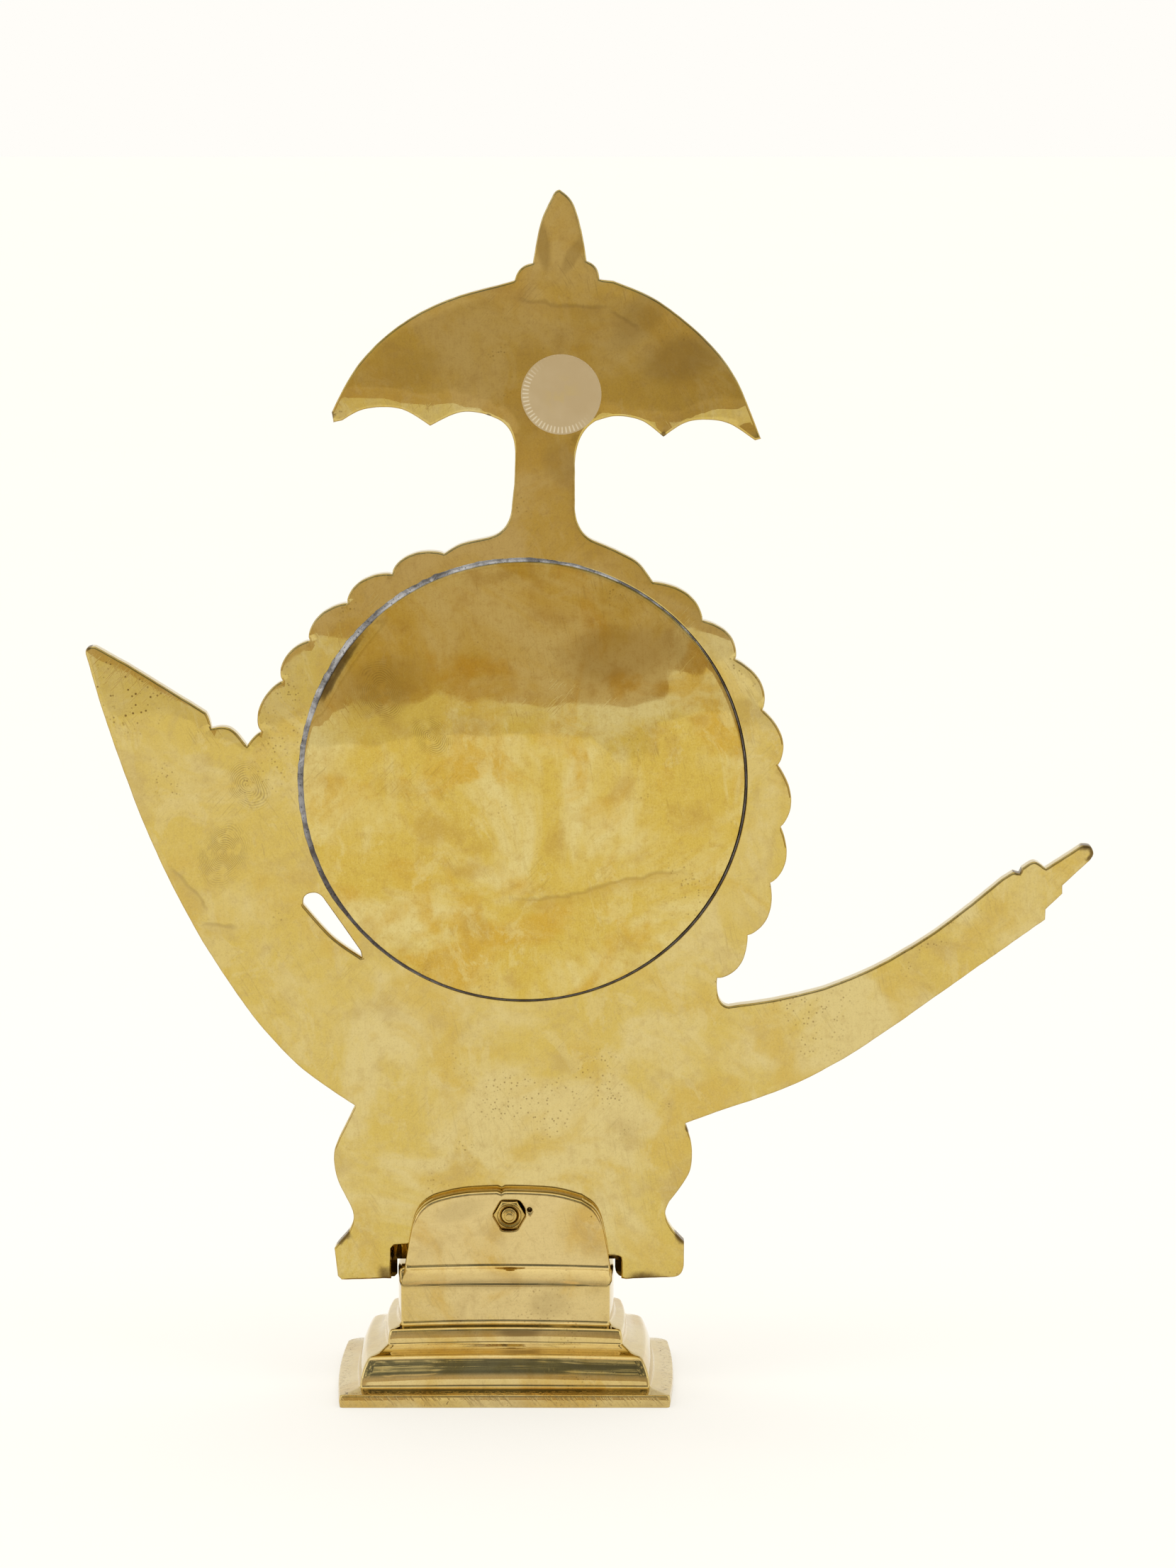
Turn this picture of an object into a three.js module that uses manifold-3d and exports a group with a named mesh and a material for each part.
// Brass relief statue on a stepped pedestal: an umbrella over a petal halo, a horn, an arm and feet.
// Millimetres, +Z up. The decorated side faces -Y and the plain back faces +Y. The statue stands on z = 0.
import * as THREE from "three";
import { mergeVertices } from "three/addons/utils/BufferGeometryUtils.js";
import Module from "manifold-3d";

const wasm = await Module();
wasm.setup();

// ---- driving dimensions ---------------------------------------------------------------------

const GAP = 0.3; // between pieces that touch
const TOUCH = 0.5; // how deep the raised canopy runs into the plate

// The casting is a flat plate with its relief in front. x is measured from the pedestal's middle.
const PLATE_BACK = 7;
const PLATE_THICK = 6;
const PLATE_FRONT = PLATE_BACK - PLATE_THICK;
const EDGE_ROUND = 1; // rounding of the plate's front edge
const NOTCH_TOP = 32.2; // the feet stand astride the riser, which reaches almost up to here

// The round hollow behind the medallion, the sheet disc that closes it and the solder round the disc.
const MEDALLION = { x: -4.8, z: 155.5 };
const ROUND = 56; // facets round the medallion
const DISC_RADIUS = 55.3;
const SEAM_WIDTH = 0.9;
const DISC_THICK = 1.5;
const LEDGE_WIDTH = 3; // the step in the casting that the disc rests on
const DOME_RADIUS = 57.5;
const DOME_RISE = 12;
const DOME_WALL = 3;

// Petals stand round a circle of their own, a little lower than the medallion.
const HALO = { x: -2.8, z: 148.6, radius: 66.8, bulge: 2.5 };
// The valleys between petals, in degrees round the halo.
const ARM_SIDE = [121, 134.5, 145.5, 158, 170.5, 184, 196.5, 209, 220.5];
const HORN_SIDE = [17, 29, 39.5, 51, 62.5, 74.5];
const DROOP = 1.2; // how far the petals lean down their row

// The pedestal: half sizes at the riser, and how far each moulding stands out from the riser's faces.
const RISER = { x: 26.3, y: 15, top: 31.4 };
const SIDE_CROWN = 1.2; // how far the long-worked side faces swell at their middle
const BASE_WALL = 3;
const MOULDING = [
  [15.1, 0],
  [15.3, 1.6],
  [15.1, 3.1],
  [10.2, 3.9],
  [9.9, 6.5],
  [9.1, 9.3],
  [8, 11.7],
  [5.2, 12.2],
  [3.6, 13.3],
  [3, 13.5],
  [3, 16.6],
  [2.5, 17],
  [0.5, 17.6],
  [0, 18.3],
  [0, RISER.top - 0.8],
  [-0.8, RISER.top],
];

// The tongue that rises from the riser and lies against the casting's back.
const TONGUE = { back: 11, top: 51.2, x: -0.5, coveStart: 27.5, coveEnd: 32 };
const NUT = { x: -1, z: 45.2, acrossFlats: 7, height: 3.2 };
const RECESS = { radius: 4.7, depth: 2.6 };
const STUD = { radius: 2, tipRadius: 1.25, tipLength: 1.2, inPlate: 4, end: 13.6 };
const PIN_HOLE = { x: -6.1, z: 46.4, radius: 0.7, depth: 2 };

const LABEL = { x: -14.25, z: 252.8, radius: 10, thick: 0.2 };

// ---- helpers --------------------------------------------------------------------------------

function toSolid(geometry) {
  const bare = geometry.clone();
  bare.deleteAttribute("normal");
  bare.deleteAttribute("uv");
  const merged = mergeVertices(bare, 1e-4);
  const vertProperties = merged.attributes.position.array;
  const triVerts = Uint32Array.from(merged.index.array);
  return new wasm.Manifold(new wasm.Mesh({ numProp: 3, vertProperties, triVerts }));
}

function toGeometry(solid) {
  const mesh = solid.getMesh();
  const geometry = new THREE.BufferGeometry();
  const positions = Float32Array.from(mesh.vertProperties);
  geometry.setAttribute("position", new THREE.BufferAttribute(positions, 3));
  geometry.setIndex(new THREE.BufferAttribute(Uint32Array.from(mesh.triVerts), 1));
  geometry.computeVertexNormals();
  return geometry;
}

// A box between two corners.
function block(low, high) {
  const size = [0, 1, 2].map((i) => high[i] - low[i]);
  const geometry = new THREE.BoxGeometry(...size);
  geometry.translate(...[0, 1, 2].map((i) => (high[i] + low[i]) / 2));
  return toSolid(geometry);
}

// A shape drawn in x and z, from the depth `back` to the depth `front`, its edges cut back by `round`.
function slab(shape, back, front, round = 0, curveSegments = 2) {
  const geometry = new THREE.ExtrudeGeometry(shape, {
    depth: back - front - 2 * round,
    curveSegments,
    bevelEnabled: round > 0,
    bevelThickness: round,
    bevelSize: round,
    bevelOffset: -round,
    bevelSegments: 1,
  });
  geometry.rotateX(Math.PI / 2);
  geometry.translate(0, back - round, 0);
  return toSolid(geometry);
}

// A body turned about a line along Y through x and z. The profile is [radius, y], from low to high y.
function turned(profile, { x, z }, segments) {
  const points = profile.map(([r, y]) => new THREE.Vector2(r, y));
  const geometry = new THREE.LatheGeometry(points, segments);
  geometry.translate(x, 0, z);
  return toSolid(geometry);
}

// A round peg between two depths.
function bore(radius, low, high, place, segments = 24) {
  return turned([[0, low], [radius, low], [radius, high], [0, high]], place, segments);
}

// A body turned about a vertical line. The profile is [radius, z], from low to high z.
function upright(profile, x, y, segments = 12) {
  const points = profile.map(([r, z]) => new THREE.Vector2(r, z));
  const geometry = new THREE.LatheGeometry(points, segments);
  geometry.rotateX(Math.PI / 2);
  geometry.translate(x, y, 0);
  return toSolid(geometry);
}

// A round-ended bar between two points.
function limb(a, b, radius, sides = 7) {
  const from = new THREE.Vector3(...a);
  const to = new THREE.Vector3(...b);
  const along = to.clone().sub(from);
  const geometry = new THREE.CapsuleGeometry(radius, along.length(), 2, sides);
  const turn = new THREE.Quaternion().setFromUnitVectors(new THREE.Vector3(0, 1, 0), along.normalize());
  geometry.applyQuaternion(turn);
  geometry.translate(...from.lerp(to, 0.5).toArray());
  return toSolid(geometry);
}

// An egg-shaped boss with its own half sizes.
function egg(centre, halfSizes, widthSegments = 8, heightSegments = 6) {
  const geometry = new THREE.SphereGeometry(1, widthSegments, heightSegments);
  geometry.rotateX(Math.PI / 2);
  geometry.scale(...halfSizes);
  geometry.translate(...centre);
  return toSolid(geometry);
}

function joined(solids) {
  return solids.reduce((all, next) => all.add(next));
}

// Moves a path on through smooth points.
function curve(path, ...points) {
  path.splineThru(points.map(([x, z]) => new THREE.Vector2(x, z)));
}

function lines(path, ...points) {
  points.forEach(([x, z]) => path.lineTo(x, z));
}

function onHalo(degrees, radius = HALO.radius) {
  const angle = THREE.MathUtils.degToRad(degrees);
  return [HALO.x + radius * Math.cos(angle), HALO.z + radius * Math.sin(angle)];
}

// A row of petals, each one a full round swell between two valleys on the halo's circle.
function petals(path, valleys, lean) {
  for (let i = 1; i < valleys.length; i++) {
    for (const share of [0.08, 0.25, 0.5, 0.75, 0.92, 1]) {
      const swell = HALO.bulge * Math.abs(Math.sin(Math.PI * share ** lean)) ** 0.75;
      const degrees = THREE.MathUtils.lerp(valleys[i - 1], valleys[i], share);
      path.lineTo(...onHalo(degrees, HALO.radius + swell));
    }
  }
}

// ---- the casting's outline ------------------------------------------------------------------

// Counterclockwise from the finial's tip: down the arm's side, along the feet, up the horn's side.
function castingOutline() {
  const path = new THREE.Shape();
  path.moveTo(-14, 303.5);
  curve(path, [-17.1, 300.4], [-19.3, 293.6], [-20.6, 285.8]); // bud finial
  path.quadraticCurveTo(-23.6, 284.9, -23.8, 281.3); // its collar
  lines(path, [-27.3, 280.9]);
  curve(path, [-38.4, 275.9], [-50.2, 266.4], [-57.8, 256.6], [-64, 241.7]); // canopy
  lines(path, [-62.5, 241.3]);
  curve(path, [-56, 245.4], [-50.3, 246.4], [-45, 245.6], [-39.7, 242.2]);
  curve(path, [-34.4, 246.1], [-28, 247.3], [-22.9, 246.1]);
  path.quadraticCurveTo(-18.2, 243.5, -17.7, 235.7); // stem
  lines(path, [-17.7, 224.2]);
  path.quadraticCurveTo(-18.2, 217.6, -23, 216);
  curve(path, [-28.5, 213.6], [-33.5, 210.7], onHalo(ARM_SIDE[0]));
  petals(path, ARM_SIDE, DROOP);
  path.quadraticCurveTo(-53.2, 98.6, -56.5, 98); // arm
  curve(path, [-68.8, 99.9], [-81.1, 103], [-94.1, 108.5], [-109.3, 117.9], [-125.4, 130.8]);
  lines(path, [-128.1, 132.5]);
  lines(path, [-129.6, 132], [-130.2, 133.4]);
  curve(path, [-133.3, 135.1], [-136.2, 133.3]);
  lines(path, [-145.2, 139.2]);
  curve(path, [-147.4, 138.9], [-148.2, 137], [-147.2, 135.3]);
  lines(path, [-140.5, 128.9], [-140.5, 126.8], [-136.3, 122.8], [-136.2, 120.2]);
  curve(path, [-112, 102.8], [-95.9, 91.3], [-83.8, 83.4], [-70.4, 76.7], [-54.4, 71], [-45.6, 67.8]);
  curve(path, [-47.2, 62.6], [-47.1, 56.6], [-45.2, 52.4], [-41.6, 47.5]); // body
  curve(path, [-40.6, 44.4], [-42.2, 40.6], [-45.4, 37.1]);
  lines(path, [-45.3, 30.8]);
  path.quadraticCurveTo(-44.9, 28, -42.5, 27.9); // foot
  lines(path, [-30.6, 27.4]);
  path.quadraticCurveTo(-28, 27.4, -27.8, 30);
  lines(path, [-27.8, NOTCH_TOP], [27.7, NOTCH_TOP], [27.7, 28.3], [28.4, 27.6]);
  lines(path, [41.8, 27.2], [42.8, 28.2], [43.6, 35.4]); // other foot
  curve(path, [42.4, 37], [39.6, 40.6], [38.9, 45], [42.6, 53], [43.6, 58.8], [42.6, 63.3], [38.2, 72.4]);
  curve(path, [49, 79.9], [57.1, 87.5], [65.9, 98.3], [76.4, 114.5]);
  curve(path, [84.3, 129.7], [91.9, 147.4], [99.8, 170], [104.9, 187.6]);
  path.quadraticCurveTo(105.3, 190, 102.4, 189.6); // horn
  lines(path, [94.4, 185.1], [74.9, 172.9]);
  path.quadraticCurveTo(73.9, 171.4, 73.5, 168.9);
  path.quadraticCurveTo(69.4, 170.3, 67, 167.4);
  lines(path, [64.7, 164.4]);
  path.quadraticCurveTo(63.6, 166.8, ...onHalo(HORN_SIDE[0]));
  petals(path, HORN_SIDE, 1 / DROOP);
  curve(path, [11, 215.4], [3.8, 217.1]);
  path.quadraticCurveTo(-1.1, 218.4, -1.8, 224.2); // stem
  curve(path, [-2.5, 231.1], [-2.7, 238.5]);
  path.quadraticCurveTo(-2.5, 244.6, 1.7, 246.6);
  curve(path, [6, 248.1], [11.4, 248.1], [18.4, 244.9]);
  curve(path, [24.1, 248.5], [29.2, 249.5], [35.2, 248.9], [40.3, 246.2]);
  lines(path, [42.5, 245.7], [42.9, 248.3]);
  curve(path, [38.6, 256.7], [34.1, 262.7], [26.5, 269.5], [14.6, 276], [-2.7, 281]);
  path.quadraticCurveTo(-3.5, 284.8, -7.2, 285.3);
  curve(path, [-8.4, 292.3], [-9.9, 297.4], [-12.3, 302.4]);

  const slot = new THREE.Path();
  slot.moveTo(36, 110.2);
  curve(slot, [43.6, 115.7], [50.9, 123.9]);
  slot.quadraticCurveTo(51.3, 127.2, 47.9, 127.1);
  slot.quadraticCurveTo(46.4, 126.9, 45.4, 125.2);
  curve(slot, [41.5, 119.6], [36.5, 112.3]);
  path.holes.push(slot);
  return path;
}

// ---- the casting's relief -------------------------------------------------------------------

// Depth of the medallion's domed face at a point.
function domeY(x, z) {
  const share = Math.hypot(x - MEDALLION.x, z - MEDALLION.z) / DOME_RADIUS;
  return PLATE_FRONT - DOME_RISE * Math.max(0, 1 - share * share);
}

function domeProfile(radius, rise, edge, segments) {
  const points = [];
  for (let i = 0; i <= segments; i++) {
    const share = i / segments;
    points.push([radius * share, edge - rise * (1 - share * share)]);
  }
  return points;
}

function medallion() {
  const face = domeProfile(DOME_RADIUS, DOME_RISE, PLATE_FRONT, 5);
  const dome = turned([...face, [DOME_RADIUS, 3], [0, 3]], MEDALLION, ROUND);
  const rim = [
    [DOME_RADIUS - 1.5, 3],
    [DOME_RADIUS - 1.5, PLATE_FRONT - 2.2],
    [DOME_RADIUS + 0.5, PLATE_FRONT - 3],
    [DOME_RADIUS + 2.5, PLATE_FRONT - 2.2],
    [DOME_RADIUS + 2.5, 3],
    [DOME_RADIUS - 1.5, 3],
  ];
  return dome.add(turned(rim, MEDALLION, ROUND));
}

// The hollow behind the medallion, open to the back, with the shallow step for the disc.
function hollow() {
  const seat = DISC_RADIUS + SEAM_WIDTH + 2 * GAP;
  const mouth = seat - LEDGE_WIDTH;
  const step = PLATE_BACK - DISC_THICK - GAP;
  const inside = domeProfile(mouth, DOME_RISE, PLATE_FRONT + DOME_WALL, 4);
  const outside = [[mouth, step], [seat, step], [seat, PLATE_BACK + 1], [0, PLATE_BACK + 1]];
  return turned([...inside, ...outside], MEDALLION, ROUND);
}

// A dancer in low relief on the medallion. Places are x and z from the medallion's middle, and a third
// value is how far the limb's line stands in front of the dome.
function dancer() {
  const at = ([x, z, lift = 0.5]) => {
    const place = [MEDALLION.x + x, MEDALLION.z + z];
    return [place[0], domeY(...place) - lift, place[1]];
  };
  const chain = (radii, ...points) =>
    radii.map((radius, i) => limb(at(points[i]), at(points[i + 1]), radius));
  const boss = (place, halfSizes) => egg(at(place), halfSizes);
  return [
    boss([1, 15, 1], [8.2, 4, 9]), // chest
    boss([0.5, 3, 1], [5.4, 3.6, 8]), // waist
    boss([0, -5, 1], [7.4, 4.2, 6]), // hips
    boss([1.2, 31.5, 1.5], [4.6, 4.4, 5.6]), // head
    boss([1.2, 40, 1], [3.6, 3.2, 6.6]), // piled hair
    ...chain([3.7, 2.8], [-2, -8, 1], [-7, -24, 2], [2, -40, 1]), // standing leg
    ...chain([3.8, 2.6], [4, -7, 2], [-11, -11, 4], [-23, -23, 3]), // raised leg
    ...chain([2, 1.7], [-7, 19, 1.5], [-16, 9, 2], [-18, 22, 2.5]), // blessing arm
    ...chain([2.1, 1.7], [8.5, 19, 1.5], [-3, 9, 4], [-19, 0, 3.5]), // crossing arm
    ...chain([1.9, 1.6], [-7, 20], [-22, 20], [-31, 32]), // drum arm
    ...chain([1.9, 1.6], [8.5, 20], [23, 20], [32, 32]), // flame arm
    boss([-31.5, 36.5], [2.6, 2, 4]), // drum
    boss([32.5, 37.5], [2.8, 2, 4.6]), // flame
    boss([-26, -25, 2], [4.4, 2, 2]), // raised foot
    boss([0.5, -42.5, 1], [5.2, 2.4, 1.9]), // standing foot
    boss([1, -46, 0], [15, 3.2, 3]), // lotus seat
    ...chain([1.5, 1.2], [6, -4, 0], [20, -8, 0], [33, -18, 0]), // sash
  ];
}

// The umbrella: a raised canopy with ribs that run down to its points.
function umbrella() {
  const top = [-14, 279];
  const canopy = new THREE.Shape();
  canopy.moveTo(...top);
  curve(canopy, [-30, 276], [-47, 265], [-57, 251]);
  curve(canopy, [-35, 254], [-11, 255.5], [14, 256], [38.5, 253.5]);
  curve(canopy, [28, 266], [9, 276], [-12, 279.2]);
  const ends = [[-58, 248], [-39.7, 245.5], [-25, 250], [-10.5, 250.5], [4, 251], [18.4, 248.5], [39, 250]];
  const start = [top[0], PLATE_FRONT - 1.4, top[1]];
  const ribs = ends.map(([x, z]) => limb(start, [x, PLATE_FRONT - 0.6, z], 1.2, 6));
  return [slab(canopy, PLATE_FRONT + TOUCH, PLATE_FRONT - 2, 0.8), ...ribs];
}

function finialAndStem() {
  const middle = PLATE_BACK - 2.5;
  const bud = [[0, 281], [7, 282], [8.2, 284], [5, 286.5], [5.4, 291], [4.4, 296.5], [1.6, 302], [0, 302.7]];
  const stem = [[0, 212], [6.4, 215], [5, 221], [5, 228], [6.4, 229.5], [6.4, 231.5], [5, 233], [5.4, 240],
    [7.5, 248], [0, 251]];
  return [upright(bud, -14, middle), upright(stem, -10.2, middle)];
}

// Rounded petals on the halo, one over each arc of its edge.
function petalBosses() {
  return [ARM_SIDE, HORN_SIDE].flatMap((valleys) =>
    valleys.slice(1).map((valley, i) => {
      const middle = (valleys[i] + valley) / 2;
      const [x, z] = onHalo(middle, HALO.radius - 3);
      const petal = new THREE.SphereGeometry(1, 7, 5);
      petal.rotateX(Math.PI / 2);
      petal.scale(4.6, 2.4, 5);
      petal.rotateY(THREE.MathUtils.degToRad(90 - middle));
      petal.translate(x, PLATE_FRONT, z);
      return toSolid(petal);
    }),
  );
}

// A round moulding along a smooth line on the plate's face.
function bead(radius, ...points) {
  const line = new THREE.CatmullRomCurve3(points.map(([x, z]) => new THREE.Vector3(x, PLATE_FRONT, z)));
  const section = new THREE.Shape();
  section.absarc(0, 0, radius, 0, 2 * Math.PI);
  const steps = 2 * points.length;
  const options = { steps, curveSegments: 3, bevelEnabled: false, extrudePath: line };
  return toSolid(new THREE.ExtrudeGeometry(section, options));
}

// Beads that follow the two edges of the horn and of the arm, and bars across the lower body.
function bordersAndBars() {
  const bars = [[63, 41, 2.2], [56.5, 40, 1.4], [37.5, 40, 1.6]];
  const feet = [[-42, -31], [31, 40.5]];
  const level = (from, to, z, radius) => limb([from, PLATE_FRONT, z], [to, PLATE_FRONT, z], radius);
  return [
    bead(1.4, [38, 77], [55, 91], [73, 116], [87, 146], [99, 181]),
    bead(1.4, [58, 120], [69, 143], [84, 169], [98, 184.5]),
    bead(1.3, [-52, 75], [-72, 82], [-96, 96], [-131, 119.5]),
    bead(1.3, [-63, 96.5], [-84, 101.5], [-106, 113], [-127, 129]),
    limb([-131, PLATE_FRONT, 126.5], [-143.8, PLATE_FRONT, 136.4], 1.8),
    ...bars.map(([z, reach, radius]) => level(2 - reach, reach - 4, z, radius)),
    ...feet.map(([from, to]) => level(from, to, 31, 1.8)),
    egg([-1.5, PLATE_FRONT, 46.5], [13, 4, 5.5]),
  ];
}

// The back of the notch is cut wider than its front, and higher on the horn's side.
function notchRebates() {
  const deep = PLATE_BACK - 3;
  return [
    block([27, deep, 20], [29.2, PLATE_BACK + 1, 36.5]),
    block([23.5, deep, 30], [27.5, PLATE_BACK + 1, 36.5]),
    block([-29.3, deep, 20], [-27.3, PLATE_BACK + 1, 33.4]),
    block([-27.5, deep, 30], [-24.5, PLATE_BACK + 1, 33.4]),
  ];
}

function reliefCasting() {
  const plate = slab(castingOutline(), PLATE_BACK + 2 * EDGE_ROUND, PLATE_FRONT, EDGE_ROUND);
  const relief = [
    medallion(),
    ...dancer(),
    ...umbrella(),
    ...finialAndStem(),
    ...petalBosses(),
    ...bordersAndBars(),
  ];
  const back = block([-200, PLATE_BACK, -10], [200, PLATE_BACK + 20, 320]);
  const studHole = bore(STUD.radius + GAP, PLATE_BACK - STUD.inPlate - GAP, PLATE_BACK + 1, NUT);
  return joined([plate, ...relief]).subtract(joined([back, hollow(), studHole, ...notchRebates()]));
}

// ---- the disc, the solder and the label -----------------------------------------------------

function backCoverDisc() {
  return bore(DISC_RADIUS, PLATE_BACK - DISC_THICK, PLATE_BACK, MEDALLION, ROUND);
}

function solderSeam() {
  const inner = DISC_RADIUS + GAP;
  const outer = inner + SEAM_WIDTH;
  const low = PLATE_BACK - 1;
  const crown = PLATE_BACK + 0.2;
  const sides = [[inner, low], [outer, low], [outer, PLATE_BACK]];
  const profile = [...sides, [(inner + outer) / 2, crown], [inner, PLATE_BACK], [inner, low]];
  return turned(profile, MEDALLION, ROUND);
}

function roundLabel() {
  const low = PLATE_BACK + GAP;
  return bore(LABEL.radius, low, low + LABEL.thick, LABEL, 48);
}

// ---- the pedestal, its stud and its nut -----------------------------------------------------

// One level of the pedestal: a rectangle with round corners whose X faces swell a little at their middle.
function ring(grow, z, cornerFront, cornerBack) {
  const halfX = RISER.x + grow;
  const halfY = RISER.y + grow;
  const corners = [
    [1, 1, cornerBack],
    [-1, 1, cornerBack],
    [-1, -1, cornerFront],
    [1, -1, cornerFront],
  ];
  const swell = (y) => 1 + (SIDE_CROWN / halfX) * (1 - (y / halfY) ** 2);
  const points = corners.flatMap(([sideX, sideY, radius], quarter) =>
    [0, 1, 2, 3].map((step) => {
      const angle = (quarter + step / 3) * (Math.PI / 2);
      const x = sideX * (halfX - radius) + radius * Math.cos(angle);
      const y = sideY * (halfY - radius) + radius * Math.sin(angle);
      return [x * swell(y), y];
    }),
  );
  const alongFace = (side) =>
    [-0.5, 0, 0.5].map((share) => [side * halfX * swell(share * halfY), side * share * halfY]);
  points.splice(8, 0, ...alongFace(-1));
  points.push(...alongFace(1));
  return points.map(([x, y]) => new THREE.Vector3(x, y, z));
}

// A closed skin over a stack of rings, capped at both ends.
function skin(rings) {
  const count = rings[0].length;
  const triangles = [];
  for (let i = 1; i < count - 1; i++) {
    triangles.push(rings[0][0], rings[0][i + 1], rings[0][i]);
    triangles.push(rings.at(-1)[0], rings.at(-1)[i], rings.at(-1)[i + 1]);
  }
  for (let level = 1; level < rings.length; level++) {
    for (let i = 0; i < count; i++) {
      const next = (i + 1) % count;
      const [a, b] = [rings[level - 1][i], rings[level - 1][next]];
      const [c, d] = [rings[level][next], rings[level][i]];
      triangles.push(a, b, c, a, c, d);
    }
  }
  return toSolid(new THREE.BufferGeometry().setFromPoints(triangles));
}

function steppedBase() {
  const outside = MOULDING.map(([grow, z]) => ring(grow, z, grow > 12 ? 4 : 2.5, 0.8));
  return skin(outside);
}

function baseHollow() {
  const inside = [
    [8, -1],
    [7, 4],
    [5, 9],
    [0, 11.5],
    [-BASE_WALL, 15],
    [-BASE_WALL, TONGUE.coveStart - 1],
  ];
  return skin(inside.map(([grow, z]) => ring(grow, z, 1.5, 1.5)));
}

// The tongue is the part common to its outline seen from behind and its profile seen from the side.
function tongue() {
  const { x, top, back } = TONGUE;
  const face = new THREE.Shape();
  const low = RISER.top - 6;
  face.moveTo(x - 26.2, low);
  lines(face, [x - 26.2, 31]);
  curve(face, [x - 25, 38], [x - 23.8, 43.4], [x - 22, 46.6], [x - 18.9, 48.8], [x - 14, 50.2]);
  curve(face, [x - 9, 50.9], [x, top], [x + 9, 50.9], [x + 14, 50.2], [x + 18.9, 48.8]);
  curve(face, [x + 22, 46.6], [x + 23.8, 43.4], [x + 25, 38], [x + 26.2, 31]);
  lines(face, [x + 26.2, low]);
  const front = PLATE_BACK + GAP;
  const side = new THREE.Shape();
  side.moveTo(front, low);
  lines(side, [front, top + 1], [back, top + 1], [back, TONGUE.coveEnd]);
  side.quadraticCurveTo(back + 0.1, TONGUE.coveEnd - 0.7, back + 0.7, TONGUE.coveEnd - 1);
  side.quadraticCurveTo(RISER.y - 1.4, TONGUE.coveStart + 2.1, RISER.y, TONGUE.coveStart);
  lines(side, [RISER.y, low]);
  const across = new THREE.ExtrudeGeometry(side, { depth: 60, curveSegments: 6, bevelEnabled: false });
  across.rotateX(Math.PI / 2);
  across.rotateZ(Math.PI / 2);
  across.translate(-30, 0, 0);
  return slab(face, RISER.y + 1, 0).intersect(toSolid(across));
}

function pedestal() {
  const recessFloor = TONGUE.back - RECESS.depth;
  const behind = TONGUE.back + 5;
  const steps = steppedBase();
  const chamfer = block([-60, TONGUE.back - 0.01, TONGUE.coveStart], [60, 30, 60]);
  return steps
    .subtract(chamfer)
    .add(tongue())
    .subtract(baseHollow())
    .subtract(bore(STUD.radius + GAP, 0, behind, NUT))
    .subtract(bore(RECESS.radius, recessFloor, behind, NUT, 32))
    .subtract(bore(PIN_HOLE.radius, TONGUE.back - PIN_HOLE.depth, behind, PIN_HOLE, 12));
}

function mountingStud() {
  const start = PLATE_BACK - STUD.inPlate;
  const shoulder = STUD.end - STUD.tipLength;
  const { radius, tipRadius, end } = STUD;
  const shank = [[0, start], [radius, start], [radius, shoulder - 0.4], [radius - 0.4, shoulder]];
  const profile = [...shank, [tipRadius, shoulder], [tipRadius, end], [0, end]];
  return turned(profile, NUT, 24);
}

function hexNut() {
  const floor = TONGUE.back - RECESS.depth + GAP;
  const corner = NUT.acrossFlats / Math.sqrt(3);
  const hexagon = new THREE.Shape();
  for (let i = 0; i < 6; i++) {
    const angle = (i * Math.PI) / 3;
    const [x, z] = [NUT.x + corner * Math.cos(angle), NUT.z + corner * Math.sin(angle)];
    if (i) hexagon.lineTo(x, z);
    else hexagon.moveTo(x, z);
  }
  const threadHole = new THREE.Path();
  threadHole.absarc(NUT.x, NUT.z, STUD.radius + GAP, 0, 2 * Math.PI);
  hexagon.holes.push(threadHole);
  const top = floor + NUT.height;
  const chamfer = [[0, floor - 1], [corner, floor - 1], [corner, top - 0.5], [corner - 0.8, top], [0, top]];
  return slab(hexagon, top, floor, 0, 12).intersect(turned(chamfer, NUT, 36));
}

// ---- the assembly ---------------------------------------------------------------------------

function brass(color, roughness) {
  return new THREE.MeshStandardMaterial({ color, roughness, metalness: 1 });
}

function piece(name, solid, material) {
  const mesh = new THREE.Mesh(toGeometry(solid), material);
  mesh.name = name;
  return mesh;
}

const solder = new THREE.MeshStandardMaterial({ color: 0x6f6a60, roughness: 0.5, metalness: 0.8 });
const film = new THREE.MeshStandardMaterial({ color: 0xd6bc86, roughness: 0.45, metalness: 0 });
const casting = piece("relief_casting", reliefCasting(), brass(0xb8913f, 0.3));
const statue = new THREE.Group();
statue.add(casting);
statue.add(piece("back_cover_disc", backCoverDisc(), brass(0xc39b3f, 0.26)));
statue.add(piece("solder_seam", solderSeam(), solder));
statue.add(piece("pedestal", pedestal(), brass(0xc8a95e, 0.16)));
statue.add(piece("mounting_stud", mountingStud(), brass(0xb89a55, 0.35)));
statue.add(piece("hex_nut", hexNut(), brass(0xb39148, 0.35)));
statue.add(piece("round_label", roundLabel(), film));

// The frame's middle in x is the middle of the casting's width.
casting.geometry.computeBoundingBox();
const width = casting.geometry.boundingBox;
statue.position.x = -(width.min.x + width.max.x) / 2;

export default statue;
